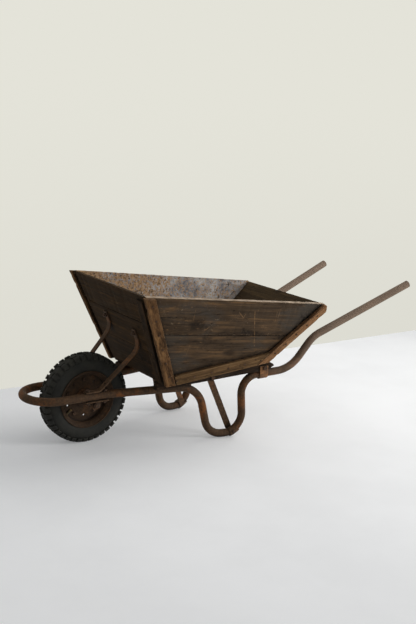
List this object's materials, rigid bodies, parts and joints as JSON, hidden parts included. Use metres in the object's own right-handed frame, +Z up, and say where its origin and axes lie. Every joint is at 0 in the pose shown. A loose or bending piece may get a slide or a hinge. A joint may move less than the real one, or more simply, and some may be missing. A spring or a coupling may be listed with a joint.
{
  "type": "rusty wheelbarrow",
  "caption": "Weathered timber wheelbarrow: splayed board tray on a bent rusty tube frame with loop legs, flat-iron struts and stays, and one lugged pneumatic wheel.",
  "frame": {"origin": "on the ground under the middle of the barrow's length and width", "axes": "+X from the wheel towards the grips, +Y towards the right-hand grip as seen by the person pushing, +Z up"},
  "size_m": [1.7994, 0.6402, 0.6658],
  "materials": {
    "rusty_tube": "orange-brown rust over old steel tube",
    "rusty_bar": "dark brown rust on flat bar",
    "rusty_fixings": "dark rust on bolts and nuts",
    "nail_heads": "rusty nail heads",
    "bearer_wood": "dark oily rough timber",
    "axle_steel": "greasy rusted steel",
    "tyre_rubber": "dusty perished lugged rubber",
    "butyl_rubber": "plain black rubber",
    "valve_brass": "dull brass",
    "bush_bronze": "dull bronze",
    "hub_steel": "rusted turned steel",
    "wheel_rust": "deep red-brown rust on pressed steel",
    "side_wood": "dark stained weathered boards, flaked blue-grey paint inside",
    "front_wood": "dark stained weathered boards",
    "rear_wood": "dark olive-brown weathered boards",
    "floor_wood": "worn dark boards",
    "batten_wood": "lighter worn battens with dark scuffs",
    "cleat_wood": "dark brown cleat"
  },
  "bodies": {
    "frame": {"frame_tube": "rusty_tube", "axle_bracket_left": "rusty_bar", "axle_bracket_right": "rusty_bar", "bracket_bolts": "rusty_fixings", "bracket_nuts": "rusty_fixings", "wheel_stay_left": "rusty_bar", "wheel_stay_right": "rusty_bar", "stay_bolts": "rusty_fixings", "leg_strut_left": "rusty_bar", "leg_strut_right": "rusty_bar", "foot_rivets": "rusty_fixings", "strut_bolts": "rusty_fixings", "rear_clip_left": "rusty_bar", "rear_clip_right": "rusty_bar", "clip_bolts": "rusty_fixings", "bearer_left": "bearer_wood", "bearer_right": "bearer_wood", "axle": "axle_steel", "axle_nuts": "rusty_fixings", "axle_spacer_left": "axle_steel", "axle_spacer_right": "axle_steel", "side_board_upper_left": "side_wood", "side_board_upper_right": "side_wood", "side_board_lower_left": "side_wood", "side_board_lower_right": "side_wood", "front_board_lower": "front_wood", "front_board_middle": "front_wood", "front_board_upper": "front_wood", "rear_board_lower": "rear_wood", "rear_board_middle": "rear_wood", "rear_board_upper": "rear_wood", "floor_board_left": "floor_wood", "floor_board_middle": "floor_wood", "floor_board_right": "floor_wood", "front_batten_left": "batten_wood", "front_batten_right": "batten_wood", "bottom_batten_left": "batten_wood", "bottom_batten_right": "batten_wood", "rear_batten_left": "batten_wood", "rear_batten_right": "batten_wood", "front_cleat": "cleat_wood", "nails_left": "nail_heads", "nails_right": "nail_heads"},
    "wheel": {"tyre": "tyre_rubber", "inner_tube": "butyl_rubber", "valve_stem": "valve_brass", "rim_half_left": "wheel_rust", "rim_half_right": "wheel_rust", "rim_bolts": "rusty_fixings", "rim_nuts": "rusty_fixings", "hub": "hub_steel", "hub_bush_left": "bush_bronze", "hub_bush_right": "bush_bronze"}
  },
  "joints": [
    {"name": "wheel_spin", "type": "hinge", "parent": "frame", "child": "wheel", "pos_m": [-0.62603, 0, 0.185], "axis": [0, 1, 0], "continuous": true}
  ]
}
